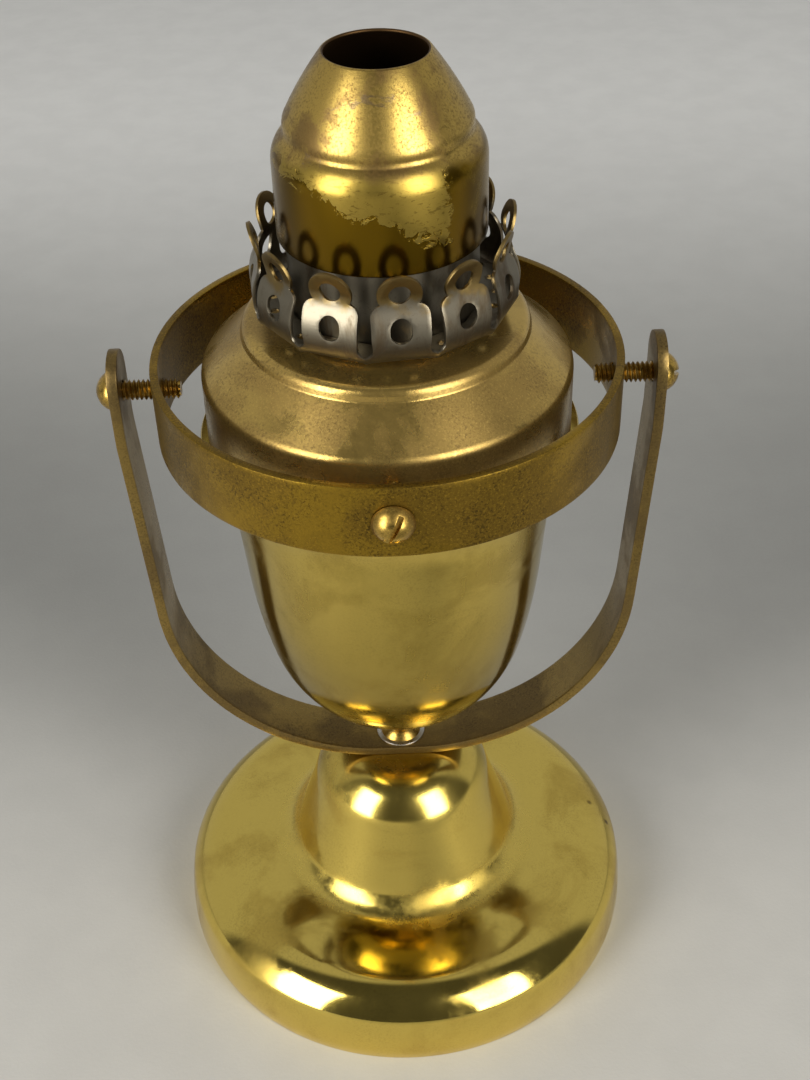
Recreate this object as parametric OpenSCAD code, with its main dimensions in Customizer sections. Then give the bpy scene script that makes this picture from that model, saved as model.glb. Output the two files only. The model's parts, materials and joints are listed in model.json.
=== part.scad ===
// Gimballed brass ship lantern, rest position, all lamp parts upright.
// Millimetres, +Z up, origin on the floor at the middle of the foot, -Y is the front.

/* [Foot] */
// Largest radius of the foot
foot_r = 63; // [55:0.5:70]
// Thickness of the spun sheet
sheet = 0.8; // [0.6:0.1:1.2]
// Height of the seat for the yoke
seat_z = 59.8; // [55:0.1:65]
// Inner radius of the ballast and felt rings
ballast_r = 34; // [20:1:40]

/* [Yoke and gimbal] */
// Width of the yoke strap
yoke_w = 14; // [10:0.5:16]
// Thickness of the yoke strap
yoke_t = 2.5; // [2:0.1:3.5]
// Half distance across the outer faces of the yoke at the pivots
yoke_x = 63.3; // [62.8:0.1:66]
// Height of the pivots
pivot_z = 176; // [170:0.5:182]
// Outer radius of the gimbal ring
ring_r = 53.6; // [53:0.1:55]
// Thickness of the gimbal ring
ring_t = 1.9; // [1.5:0.1:2.5]
// Height of the gimbal ring
ring_h = 17.5; // [12:0.5:20]

/* [Pivot screws] */
// Thread diameter
thread_d = 4.76; // [4:0.02:5]
// Length under the head
screw_l = 15.9; // [14:0.1:16.5]
// Head diameter
head_d = 9.4; // [8:0.1:11]
// Head height
head_h = 3.6; // [3:0.1:4.5]

/* [Lamp body] */
// Radius of the wall of the dome
dome_r = 42.3; // [41.5:0.1:43]
// Radius of the burner opening
burner_r = 17; // [14:0.5:18]

/* [Burner] */
// Number of prongs of the chimney holder
prongs = 12; // [8:1:14]
// Turn of the prongs about the lamp axis
prong_turn = 6.2; // [0:0.1:30]
// Outer radius of the burner drum
drum_r = 20.9; // [19:0.1:21]
// Outer radius of the wick
wick_r = 8; // [7:0.1:9]
// Height of the wick spindle
spindle_z = 202.6; // [202:0.1:204]
// Height of the top of the burner drum, under the shoulder of the cap
drum_top = 234.8; // [230:0.1:234.8]

/* [Hidden] */
$fn = 64;
brass = "#b08d3c";
dark_brass = "#8a6f35";
nickel = "#a8a495";
iron = "#5a5a58";
cotton = "#d8cdb2";
felt = "#2f4a38";

// Profile helpers: a path is a start point, the elevation of its outward normal
// and a list of [radius, end elevation, steps].
function nrm(e) = [cos(e), sin(e)];
function arc_pts(p, r, a, b, o, k) =
  [for (i = [1:k]) p + r * (nrm(a + (b - a) * i / k) - nrm(a)) - o * nrm(a + (b - a) * i / k)];
function walk(p, e, segs, o, i = 0) = i == len(segs) ? [] : concat(
  segs[i][0] == 0 ? [p + segs[i][1] * [-sin(e), cos(e)] - o * nrm(e)] :
    arc_pts(p, segs[i][0], e, segs[i][1], o, segs[i][2]),
  segs[i][0] == 0 ? walk(p + segs[i][1] * [-sin(e), cos(e)], e, segs, o, i + 1) :
  walk(p + segs[i][0] * (nrm(segs[i][1]) - nrm(e)), segs[i][1], segs, o, i + 1));
function path(p, e, segs, o) = concat([p - o * nrm(e)], walk(p, e, segs, o));
function back(v) = [for (i = [len(v) - 1:-1:0]) v[i]];

// Foot: rounded seat, flared bell, hollow, shallow disc, rounded shoulder, upright rim.
foot_segs = [[15.5, 15, 5], [-170, 21.83, 3], [-8, 86, 5], [140, 80, 3],
  [14, 30, 5], [5, 10, 3], [55, 0, 3], [12, -21, 3]];
function foot_line(o) = path([9.1 + foot_r - 63, seat_z], 90, foot_segs, o);
foot_edge = foot_line(0)[len(foot_line(0)) - 1][0];

// Urn: flat bottom, round belly, long straight side, flared rim.
urn_segs = [[12, -45, 5], [36, -14, 5], [150, -5, 4], [0, 24.6], [-29, -32.4, 5]];
function urn_line(o) = path([14.6, 82], -90, urn_segs, o);

// Dome: upright wall, shoulder, cone, step and platform.
dome_segs = [[0, 15.8], [3, 48.5, 4], [0, 12], [0, 0.01]];
function dome_line(o) = path([dome_r, 165.2], 0, dome_segs, o);
step_segs = [[0, 1.2], [2.2, 85, 4], [0, 11.6]];
function step_line(o) = path([32.3, 191.2], 10, step_segs, o);

// Cap: skirt, shoulder, groove, bulging cone, lip.
cap_segs = [[0, 16.5], [6.8, 50, 5], [-1.5, -12, 4], [3.8, 27, 5], [82, 37.4, 5], [0.8, 75, 3]];
function cap_line(o) = path([22.7, 215.3], 0, cap_segs, o);

// Prong in height: bulged body above the fold, in at the neck, then a straight ear that leans out.
prong_t = 0.7;
prong_segs = [[14, 0, 4], [12, 26, 4], [-6.5, -18, 5], [0, 5.6]];
function prong_line(o) = path([28.1, 198.4], -22.7, prong_segs, o);

module along_x(x) {
  translate([x, 0, pivot_z])
    rotate([0, 90, 0])
      children();
}

// Round head on +Z with a driving slot, shank on -Z, underside of the head at 0.
module round_screw(turn) {
  rr = (pow(head_d / 2, 2) + pow(head_h, 2)) / (2 * head_h);
  difference() {
    rotate_extrude()
      intersection() {
        translate([0, head_h - rr])
          circle(r = rr);
        square([head_d, head_h]);
      }
    rotate([0, 0, turn])
      translate([-head_d, -0.6, head_h - 1.7])
        cube([2 * head_d, 1.2, 4]);
  }
  translate([0, 0, -screw_l])
    cylinder(d = thread_d, h = screw_l + 0.5);
}

module foot_shell() {
  color(brass)
    rotate_extrude()
      polygon(concat([[3.15, seat_z]], foot_line(0), [[foot_edge, 0], [foot_edge - sheet, 0]],
        back(foot_line(sheet)), [[3.15, seat_z - sheet]]));
}

module foot_inside(z0, z1) {
  rotate_extrude()
    intersection() {
      polygon(concat([[0, seat_z - sheet]], foot_line(sheet), [[foot_edge - sheet, 0], [0, 0]]));
      translate([ballast_r, z0])
        square([40, z1 - z0]);
    }
}

module foot_ballast() {
  color(iron)
    foot_inside(1.6, 15);
}

module foot_felt() {
  color(felt)
    foot_inside(0, 1.6);
}

// Strap: short flat seat, two bends on each side, splayed leg, short upright tip with a round end.
bend_a = 43.7;
bend_b = 56.8;
turn_a = 11.3;
splay = 3.5;
knee_x = 6 + bend_a * sin(turn_a) + bend_b * (cos(splay) - sin(turn_a));
leg_l = (yoke_x - 60 * (1 - cos(splay)) - knee_x) / sin(splay);
strap_segs = [[bend_a, turn_a - 90, 2], [bend_b, -splay, 15], [0, leg_l], [60, 0, 1], [0, 22]];
function strap_line(o) = path([6, seat_z], -90, strap_segs, o);
function flip(v) = [for (p = v) [-p[0], p[1]]];

module yoke_strap() {
  color(dark_brass)
    difference() {
      intersection() {
        rotate([90, 0, 0])
          linear_extrude(yoke_w, center = true)
            polygon(concat(strap_line(0), back(strap_line(yoke_t)),
              flip(strap_line(yoke_t)), back(flip(strap_line(0)))));
        rotate([90, 0, 90])
          linear_extrude(2 * yoke_x + 4, center = true) {
            translate([-yoke_w / 2, 0])
              square([yoke_w, pivot_z + 3]);
            translate([0, pivot_z + 3])
              circle(d = yoke_w);
          }
      }
      along_x(-80)
        cylinder(d = thread_d + 0.12, h = 160);
      translate([0, 0, seat_z - 1])
        cylinder(r = 3.15, h = 5);
    }
}

bolt_z = seat_z + yoke_t + 0.6;

module yoke_bolt() {
  rr = (5.5 * 5.5 + 3.2 * 3.2) / 6.4;
  color(dark_brass) {
    translate([0, 0, bolt_z])
      difference() {
        rotate_extrude()
          intersection() {
            translate([0, 3.2 - rr])
              circle(r = rr);
            square([6, 3.2]);
          }
        translate([-8, -0.6, 2])
          cube([16, 1.2, 4]);
      }
    translate([0, 0, bolt_z - 13.4])
      cylinder(r = 3, h = 13.6);
  }
}

module yoke_washer() {
  color(nickel)
    translate([0, 0, bolt_z - 0.6])
      difference() {
        cylinder(r = 6.5, h = 0.6);
        translate([0, 0, -1])
          cylinder(r = 3.15, h = 3);
      }
}

module yoke_lock_washer() {
  color(nickel)
    translate([0, 0, seat_z - sheet - 1.2])
      difference() {
        cylinder(r = 5.2, h = 1.2);
        translate([0, 0, -1])
          cylinder(r = 3.15, h = 4);
        translate([3, -0.5, -1])
          cube([4, 1, 4]);
      }
}

module yoke_nut() {
  color(dark_brass)
    translate([0, 0, seat_z - sheet - 6.2])
      difference() {
        cylinder(r = 6.4, h = 5, $fn = 6);
        translate([0, 0, -1])
          cylinder(r = 3.02, h = 8, $fn = 64);
      }
}

module gimbal_ring() {
  color(dark_brass)
    difference() {
      translate([0, 0, pivot_z - ring_h / 2])
        cylinder(r = ring_r, h = ring_h, $fn = 128);
      translate([0, 0, pivot_z - ring_h])
        cylinder(r = ring_r - ring_t, h = 2 * ring_h, $fn = 128);
      along_x(-80)
        cylinder(d = thread_d + 0.04, h = 160);
      translate([0, 0, pivot_z])
        rotate([90, 0, 0])
          cylinder(d = thread_d + 0.12, h = 160, center = true);
    }
}

module side_screw(turn) {
  color(dark_brass)
    along_x(yoke_x + 0.15)
      round_screw(turn);
}

module side_screw_right() {
  side_screw(70);
}

module side_screw_left() {
  rotate([0, 0, 180])
    side_screw(55);
}

module pivot_screw(turn) {
  color(dark_brass)
    translate([0, -ring_r - 0.2, pivot_z])
      rotate([90, 0, 0])
        round_screw(turn);
}

module front_screw() {
  pivot_screw(60);
}

module back_screw() {
  rotate([0, 0, 180])
    pivot_screw(20);
}

// Blind threaded bush inside the wall of the dome.
module bush() {
  color(brass)
    difference() {
      intersection() {
        translate([0, -36.9, pivot_z])
          rotate([90, 0, 0])
            cylinder(r = 4.5, h = 9);
        translate([0, 0, pivot_z - 10])
          cylinder(r = dome_r - sheet - 0.1, h = 20, $fn = 96);
      }
      translate([0, -37.7, pivot_z])
        rotate([90, 0, 0])
          cylinder(d = thread_d + 0.04, h = 9);
    }
}

module front_bush() {
  bush();
}

module back_bush() {
  rotate([0, 0, 180])
    bush();
}

module urn_shell() {
  color(brass)
    rotate_extrude() {
      polygon(concat([[0, 82]], urn_line(0), [[42.4, 163.6]], back(urn_line(sheet)), [[0, 82 + sheet]]));
      translate([40.9, 164.3])
        square([2.2, 0.9]);
      translate([43.05, 164.3])
        difference() {
          circle(r = 1.2, $fn = 32);
          translate([-3, 0.9])
            square([6, 3]);
        }
    }
}

module urn_weight() {
  color(iron)
    rotate_extrude()
      intersection() {
        polygon(concat([[0, 82 + sheet]], urn_line(sheet), [[0, 163]]));
        square([60, 99]);
      }
}

module dome_cover() {
  color(dark_brass)
    difference() {
      rotate_extrude()
        polygon(concat(dome_line(0), step_line(0), [[burner_r + 1.3, dome_top]],
          [[burner_r + 1.3, dome_top - sheet - 0.1]], back(step_line(sheet + 0.1)), back(dome_line(sheet + 0.1))));
      translate([0, 0, pivot_z])
        rotate([90, 0, 0])
          cylinder(d = thread_d + 0.12, h = 160, center = true);
    }
}

// Heights of the dome's top, the collar's top and the top of the burner's flange.
dome_top = 195.2;
collar_top = 196.4;
flange_top = 198;

// Threaded collar soldered into the dome.
module burner_collar() {
  color(dark_brass)
    rotate_extrude()
      polygon([[burner_r, 187], [burner_r + 1.25, 187], [burner_r + 1.25, dome_top],
        [burner_r + 3.4, dome_top], [burner_r + 3.4, collar_top], [burner_r, collar_top]]);
}

// Screwed plug that carries the crown, the drum and the wick tubes.
module burner_base() {
  color(nickel)
    rotate_extrude()
      polygon([[wick_r + 0.82, collar_top], [burner_r - 1.3, collar_top], [burner_r - 1.3, 188.5],
        [burner_r - 0.06, 188.5], [burner_r - 0.06, collar_top], [burner_r + 5.5, collar_top],
        [burner_r + 5.5, flange_top], [wick_r + 0.82, flange_top]]);
}

// One prong seen from the front: straight body, round shoulders, neck and round ear.
body_half = 6.2;
shoulder_r = 2.65;
shoulder_z = 208.65;
neck_half = body_half - shoulder_r + 0.2;
ear_z = 213.6;
ear_r = 4.7;
slot_r = 1.6;
slot_z = 201.6;
// Radius of the way for the spindle between two prongs.
spindle_clear = 1.5;
// Two air holes in the floor behind each prong.
vent_r = 24.6;
vent_turn = 7.5;

module prong_outline() {
  translate([-body_half, 190])
    square([2 * body_half, shoulder_z - 190]);
  for (s = [-1, 1])
    translate([(body_half - shoulder_r) * s, shoulder_z])
      circle(r = shoulder_r, $fn = 32);
  translate([-neck_half, 205])
    square([2 * neck_half, 8]);
  translate([0, ear_z])
    circle(r = ear_r, $fn = 48);
}

module crown_holes() {
  translate([0, ear_z + 0.1])
    circle(r = 2.3, $fn = 32);
  for (s = [-0.4, 0.4])
    translate([0, 205.7 + s])
      circle(r = 2.3, $fn = 32);
  translate([-2.3, 205.3])
    square([4.6, 0.8]);
}

module crown() {
  color(nickel)
    difference() {
      intersection() {
        rotate_extrude($fn = 96)
          polygon(concat([[drum_r, flange_top], [27.7, flange_top]], prong_line(0),
            back(prong_line(prong_t)), [[drum_r, flange_top + prong_t]]));
        union() {
          translate([0, 0, 190])
            cylinder(r = 40, h = slot_z - 190);
          for (i = [0:prongs - 1])
            rotate([0, 0, prong_turn + 360 / prongs * i])
              rotate([90, 0, 0])
                translate([0, 0, 15])
                  linear_extrude(20)
                    prong_outline();
        }
      }
      for (i = [0:prongs - 1])
        rotate([0, 0, prong_turn + 360 / prongs * i]) {
          rotate([90, 0, 0])
            translate([0, 0, 23])
              linear_extrude(12)
                crown_holes();
          rotate([0, 0, 180 / prongs])
            translate([0, -24, slot_z])
              rotate([90, 0, 0])
                cylinder(r = slot_r, h = 10, $fn = 32);
          for (a = [-vent_turn, vent_turn])
            rotate([0, 0, a])
              translate([0, -vent_r, 195])
                cylinder(r = 1.1, h = 6, $fn = 24);
        }
      on_spindle(22)
        cylinder(r = spindle_clear, h = 10, $fn = 32);
    }
}

// Spindle line: a chord beside the wick that leaves through the slot behind the lamp.
slot_a = prong_turn + 165;
chord = wick_r + 2.4;
lead_a = slot_a + asin(chord / 29);

module on_spindle(t) {
  rotate([0, 0, lead_a])
    translate([-chord, -t, spindle_z])
      rotate([90, 0, 0])
        children();
}

module burner_drum() {
  color(nickel)
    difference() {
      translate([0, 0, flange_top])
        cylinder(r = drum_r, h = drum_top - flange_top, $fn = 96);
      translate([0, 0, flange_top - 1])
        cylinder(r = drum_r - 0.6, h = 40, $fn = 96);
      on_spindle(10)
        cylinder(r = 2.2, h = 14);
    }
}

module spindle_bush() {
  color(brass)
    on_spindle(15.5)
      difference() {
        cylinder(r = 2.15, h = 7);
        translate([0, 0, -1])
          cylinder(r = 1.15, h = 9);
      }
}

module wick_tube() {
  color(brass)
    difference() {
      union() {
        translate([0, 0, 193])
          cylinder(r = wick_r + 0.8, h = 43);
        for (t = [-5.6, 4.4])
          on_spindle(t)
            linear_extrude(1.2) {
              circle(r = 2.4);
              translate([0, -2.4])
                square([3.7, 4.8]);
            }
      }
      translate([0, 0, 190])
        cylinder(r = wick_r + 0.15, h = 50);
      on_spindle(-3)
        cylinder(r = 2.6, h = 6);
      on_spindle(-10)
        cylinder(r = 1.15, h = 30);
      translate([-3.55, -12, 199.45])
        cube([7.1, 8, 6.1]);
    }
}

module air_tube() {
  color(brass)
    difference() {
      union() {
        translate([0, 0, 198.9])
          cylinder(r = wick_r - 1.5, h = 37.8);
        translate([-3.5, -9.6, 199.5])
          cube([7, 6, 6]);
      }
      translate([0, 0, 199.5])
        cylinder(r = wick_r - 2.1, h = 40);
      translate([-2.9, -12, 200.1])
        cube([5.8, 10, 4.8]);
    }
}

module wick_spindle() {
  color(dark_brass)
    on_spindle(-6.4)
      cylinder(r = 1.1, h = 45.4);
}

module wick_wheel() {
  color(brass)
    on_spindle(-1.5)
      difference() {
        cylinder(r = 2.3, h = 3, $fn = 48);
        for (a = [0:36:324])
          rotate([0, 0, a])
            translate([2.45, 0, -1])
              cylinder(r = 0.45, h = 6, $fn = 16);
        translate([0, 0, -1])
          cylinder(r = 1.1, h = 6);
      }
}

module wick_knob() {
  color(dark_brass)
    on_spindle(36)
      difference() {
        rotate_extrude()
          polygon([[1.1, 0], [2.6, 0], [2.6, 1], [6.6, 1], [7, 1.4], [7, 3.6], [6.6, 4], [1.1, 4]]);
        for (a = [0:12:348])
          rotate([0, 0, a])
            translate([7.3, 0, -1])
              cylinder(r = 0.5, h = 7, $fn = 16);
      }
}

module wick() {
  color(cotton)
    difference() {
      translate([0, 0, 122])
        cylinder(r = wick_r, h = 114.5);
      translate([0, 0, 120])
        cylinder(r = wick_r - 1.4, h = 120);
      translate([-4, -12, 110])
        cube([8, 12, 103]);
    }
}

module cap() {
  color(brass)
    rotate_extrude()
      polygon(concat(cap_line(0), back(cap_line(sheet))));
}

foot_shell();
foot_ballast();
foot_felt();
yoke_strap();
yoke_bolt();
yoke_washer();
yoke_lock_washer();
yoke_nut();
gimbal_ring();
side_screw_left();
side_screw_right();
urn_shell();
urn_weight();
dome_cover();
front_screw();
back_screw();
front_bush();
back_bush();
burner_collar();
burner_base();
crown();
burner_drum();
wick_tube();
air_tube();
spindle_bush();
wick_spindle();
wick_wheel();
wick_knob();
wick();
cap();
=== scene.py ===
"""Looks of the gimballed brass ship lantern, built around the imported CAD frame.

Sizes below are in millimetres."""
import json
import math

import bmesh
import bpy
import numpy as np
from mathutils import Matrix, Vector
from mathutils.geometry import delaunay_2d_cdt


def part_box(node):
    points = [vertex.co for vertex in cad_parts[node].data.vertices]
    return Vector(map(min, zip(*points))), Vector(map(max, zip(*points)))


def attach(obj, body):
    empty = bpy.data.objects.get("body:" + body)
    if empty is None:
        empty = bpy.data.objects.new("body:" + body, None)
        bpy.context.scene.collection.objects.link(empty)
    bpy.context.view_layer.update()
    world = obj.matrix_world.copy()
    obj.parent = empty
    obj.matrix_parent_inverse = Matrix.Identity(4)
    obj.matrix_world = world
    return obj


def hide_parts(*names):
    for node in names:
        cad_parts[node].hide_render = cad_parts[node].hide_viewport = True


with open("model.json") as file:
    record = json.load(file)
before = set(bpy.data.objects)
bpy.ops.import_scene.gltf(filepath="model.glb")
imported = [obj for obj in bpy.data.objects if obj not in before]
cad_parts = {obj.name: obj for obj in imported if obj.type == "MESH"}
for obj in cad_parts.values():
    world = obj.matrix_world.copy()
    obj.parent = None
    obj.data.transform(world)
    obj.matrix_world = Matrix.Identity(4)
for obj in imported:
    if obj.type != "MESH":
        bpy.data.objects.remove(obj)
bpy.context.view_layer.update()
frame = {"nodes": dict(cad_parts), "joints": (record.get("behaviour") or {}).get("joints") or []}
MM = 0.001


def size_of(node):
    """Lowest and highest corner of a CAD node in millimetres."""
    low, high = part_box(node)
    return np.array(low) / MM, np.array(high) / MM


# ---------------------------------------------------------------- sizes taken from the frame
FOOT_R = size_of("foot_shell")[1][0]
SEAT_Z = size_of("foot_shell")[1][2]
RING_LOW, RING_HIGH = size_of("gimbal_ring")
RING_R = RING_HIGH[0]
PIVOT_Z = (RING_LOW[2] + RING_HIGH[2]) / 2
YOKE_HIGH = size_of("yoke_strap")[1]
YOKE_X, YOKE_HALF_W = YOKE_HIGH[0], YOKE_HIGH[1]
URN_Z = size_of("urn_shell")[0][2]
DOME_LOW, DOME_HIGH = size_of("dome_cover")
DOME_R = DOME_HIGH[0]
CROWN_LOW = size_of("crown")[0]
CAP_LOW, CAP_HIGH = size_of("cap")
DRUM_LOW, DRUM_HIGH = size_of("burner_drum")
SCREW_HIGH = size_of("side_screw_right")[1]
SCREW_LOW = size_of("side_screw_right")[0]
BOLT_LOW, BOLT_HIGH = size_of("yoke_bolt")
FRONT_LOW = size_of("front_screw")[0]
BUSH_MIDDLE = sum(size_of("spindle_bush")) / 2

SHEET = 0.8
RING_T = 1.9
YOKE_T = 2.5
THREAD_R = 2.38
THREAD_PITCH = 1.058
HEAD_R = 4.7
HEAD_H = 3.6
BOLT_HOLE_R = 3.15
COLLAR_BORE_R = 17.0
FLANGE_T = 1.6
WICK_TUBE_BORE_R = 8.82
DRUM_T = 0.6
PRONGS = 12
PRONG_TURN = 6.2
PRONG_T = 0.7
LATHE_STEPS = 192


# ---------------------------------------------------------------- profiles
def normal(e):
    """Unit normal (r, z) at an elevation in degrees."""
    return np.array([math.cos(math.radians(e)), math.sin(math.radians(e))])


def walk(start, e, moves):
    """Points along a profile with their normals.
    A move is ("line", length) or (signed radius, end elevation)."""
    p = np.array(start, float)
    out = [(p.copy(), e)]
    for move in moves:
        if move[0] == "line":
            p = p + move[1] * np.array([-math.sin(math.radians(e)), math.cos(math.radians(e))])
            out.append((p.copy(), e))
            continue
        radius, end = move
        length = abs(radius * math.radians(end - e))
        steps = max(3, int(abs(end - e) / 6), int(length / 2.5))
        for i in range(1, steps + 1):
            a = e + (end - e) * i / steps
            out.append((p + radius * (normal(a) - normal(e)), a))
        p = p + radius * (normal(end) - normal(e))
        e = end
    return out


def round_end(p, e, t, first):
    """Points of a rounded edge of a sheet, from its outer side to its inner side."""
    mid = p - normal(e) * t / 2
    turn = -1 if first else 1
    return [mid + normal(e + turn * a) * t / 2 for a in (30, 60, 90, 120, 150)]


def shell_outline(track, t, closed_start=True):
    """Closed outline of a sheet of thickness t that follows a track on its inner side."""
    outer = [p for p, e in track]
    inner = [p - normal(e) * t for p, e in track]
    last = round_end(*track[-1], t, False)
    if not closed_start:
        return outer + last + inner[::-1]
    first = round_end(*track[0], t, True)
    return outer + last + inner[::-1] + first[::-1]


# ---------------------------------------------------------------- mesh helpers
def new_object(name, verts, faces, sharp=38.0):
    mesh = bpy.data.meshes.new(name)
    mesh.from_pydata([tuple(v) for v in verts], [], faces)
    mesh.validate()
    return finish_object(name, mesh, sharp)


def finish_object(name, mesh, sharp=38.0):
    bm = bmesh.new()
    bm.from_mesh(mesh)
    bmesh.ops.remove_doubles(bm, verts=bm.verts, dist=1e-7)
    bmesh.ops.dissolve_degenerate(bm, edges=bm.edges, dist=1e-7)
    bmesh.ops.recalc_face_normals(bm, faces=bm.faces)
    bm.to_mesh(mesh)
    bm.free()
    mesh.polygons.foreach_set("use_smooth", [True] * len(mesh.polygons))
    mesh.set_sharp_from_angle(angle=math.radians(sharp))
    obj = bpy.data.objects.new(name, mesh)
    bpy.context.scene.collection.objects.link(obj)
    return obj


def lathe(name, outline, closed=True, steps=LATHE_STEPS, radius_at=None, sharp=38.0):
    """Turns an outline of (r, z) points about the Z axis."""
    verts, faces, rings = [], [], []
    for r, z in outline:
        if r < 1e-6:
            rings.append([len(verts)] * steps)
            verts.append((0, 0, z * MM))
            continue
        rings.append(range(len(verts), len(verts) + steps))
        for k in range(steps):
            a = 2 * math.pi * k / steps
            rr = radius_at(r, z, a) if radius_at else r
            verts.append((rr * math.cos(a) * MM, rr * math.sin(a) * MM, z * MM))
    last = len(outline) if closed else len(outline) - 1
    for i in range(last):
        a, b = rings[i], rings[(i + 1) % len(outline)]
        for k in range(steps):
            k2 = (k + 1) % steps
            face = list(dict.fromkeys([a[k], a[k2], b[k2], b[k]]))
            if len(face) > 2:
                faces.append(face)
    return new_object(name, verts, faces, sharp)


def inside(points, outline):
    """Which of the points lie inside the outline."""
    x, y = points[:, 0], points[:, 1]
    hit = np.zeros(len(points), bool)
    for (x0, y0), (x1, y1) in zip(outline, np.roll(outline, -1, axis=0)):
        crosses = (y0 > y) != (y1 > y)
        if y1 != y0:
            hit ^= crosses & (x < (x1 - x0) * (y - y0) / (y1 - y0) + x0)
    return hit


def far_from(points, outline, gap):
    """Which of the points are further than gap from the outline."""
    a = outline
    d = np.roll(outline, -1, axis=0) - a
    t = ((points[:, None] - a[None]) * d[None]).sum(2) / (d * d).sum(1)[None]
    near = a[None] + np.clip(t, 0, 1)[:, :, None] * d[None]
    return np.linalg.norm(points[:, None] - near, axis=2).min(1) > gap


def triangulate(outline, holes, step):
    """Even triangles over an outline with holes, as points and index triples."""
    outline = np.array(outline, float)
    holes = [np.array(h, float) for h in holes]
    low, high = outline.min(0), outline.max(0)
    grid = [(x, y) for x in np.arange(low[0] + step / 2, high[0],
        step) for y in np.arange(low[1] + step / 2, high[1], step)]
    grid = np.array(grid)
    keep = inside(grid, outline) & far_from(grid, outline, step * 0.45)
    for h in holes:
        keep &= ~inside(grid, h) & far_from(grid, h, step * 0.45)
    points = [outline] + holes + [grid[keep]]
    edges, n = [], 0
    for loop in [outline] + holes:
        edges += [(n + i, n + (i + 1) % len(loop)) for i in range(len(loop))]
        n += len(loop)
    got = delaunay_2d_cdt([Vector(p) for p in np.concatenate(points)], edges, [], 0, 1e-7)
    flat = np.array([tuple(v) for v in got[0]])
    tris = np.array([f for f in got[2]])
    mid = flat[tris].mean(1)
    keep = inside(mid, outline)
    for h in holes:
        keep &= ~inside(mid, h)
    return flat, tris[keep]


def bent_sheet(name, patterns, edge, sharp=38.0):
    """One sheet from flat patterns.
    Each pattern is (points, triangles, bend), where bend(point) gives its two sides in mm.
    Patterns join where their points meet, and edge is the width of the rounding along the free edges."""
    index, tops, bottoms, faces = {}, [], [], []
    for flat, tris, bend in patterns:
        ids = []
        for p in flat:
            top, bottom = bend(p)
            key = tuple(np.round(top, 3))
            if key not in index:
                index[key] = len(tops)
                tops.append(top)
                bottoms.append(bottom)
            ids.append(index[key])
        faces += [[ids[i] for i in tri] for tri in tris]
    count = {}
    for f in faces:
        for a, b in zip(f, f[1:] + f[:1]):
            count.setdefault(frozenset((a, b)), []).append((a, b))
    n = len(tops)
    sides = [(ab[0][1], ab[0][0], ab[0][0] + n, ab[0][1] + n) for ab in count.values() if len(ab) == 1]
    mesh = bpy.data.meshes.new(name)
    mesh.from_pydata([tuple(np.array(v) * MM) for v in tops + bottoms], [],
        faces + [[i + n for i in f[::-1]] for f in faces] + sides)
    bm = bmesh.new()
    bm.from_mesh(mesh)
    bmesh.ops.recalc_face_normals(bm, faces=bm.faces)
    hard = [e for e in bm.edges if len(e.link_faces) == 2 and e.calc_face_angle(0) > math.radians(50)]
    bmesh.ops.bevel(bm, geom=hard, offset=edge * MM, segments=2, profile=0.6, affect="EDGES",
        clamp_overlap=True)
    bm.to_mesh(mesh)
    bm.free()
    return finish_object(name, mesh, sharp)


def circle(cx, cy, r, n=40, start=0.0):
    return [(cx + r * math.cos(start + 2 * math.pi * i / n),
        cy + r * math.sin(start + 2 * math.pi * i / n)) for i in range(n)]


def arc(cx, cy, r, a0, a1, n):
    return [(cx + r * math.cos(math.radians(a0 + (a1 - a0) * i / n)),
        cy + r * math.sin(math.radians(a0 + (a1 - a0) * i / n))) for i in range(n + 1)]


def line(p, q, step):
    n = max(1, int(math.dist(p, q) / step))
    return [(p[0] + (q[0] - p[0]) * i / n, p[1] + (q[1] - p[1]) * i / n) for i in range(n)]


def turned(obj, matrix):
    obj.data.transform(matrix)
    obj.data.update()
    return obj


def boolean_cut(obj, cutter):
    mod = obj.modifiers.new("cut", "BOOLEAN")
    mod.operation = "DIFFERENCE"
    mod.solver = "EXACT"
    mod.object = cutter
    depsgraph = bpy.context.evaluated_depsgraph_get()
    mesh = bpy.data.meshes.new_from_object(obj.evaluated_get(depsgraph))
    obj.modifiers.clear()
    obj.data = mesh
    bpy.data.objects.remove(cutter)


def box_mesh(name, low, high):
    x, y, z = zip(low, high)
    verts = [(a * MM, b * MM, c * MM) for a in x for b in y for c in z]
    faces = [(0, 1, 3, 2), (4, 6, 7, 5), (0, 4, 5, 1), (2, 3, 7, 6), (0, 2, 6, 4), (1, 5, 7, 3)]
    return new_object(name, verts, faces)


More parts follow.
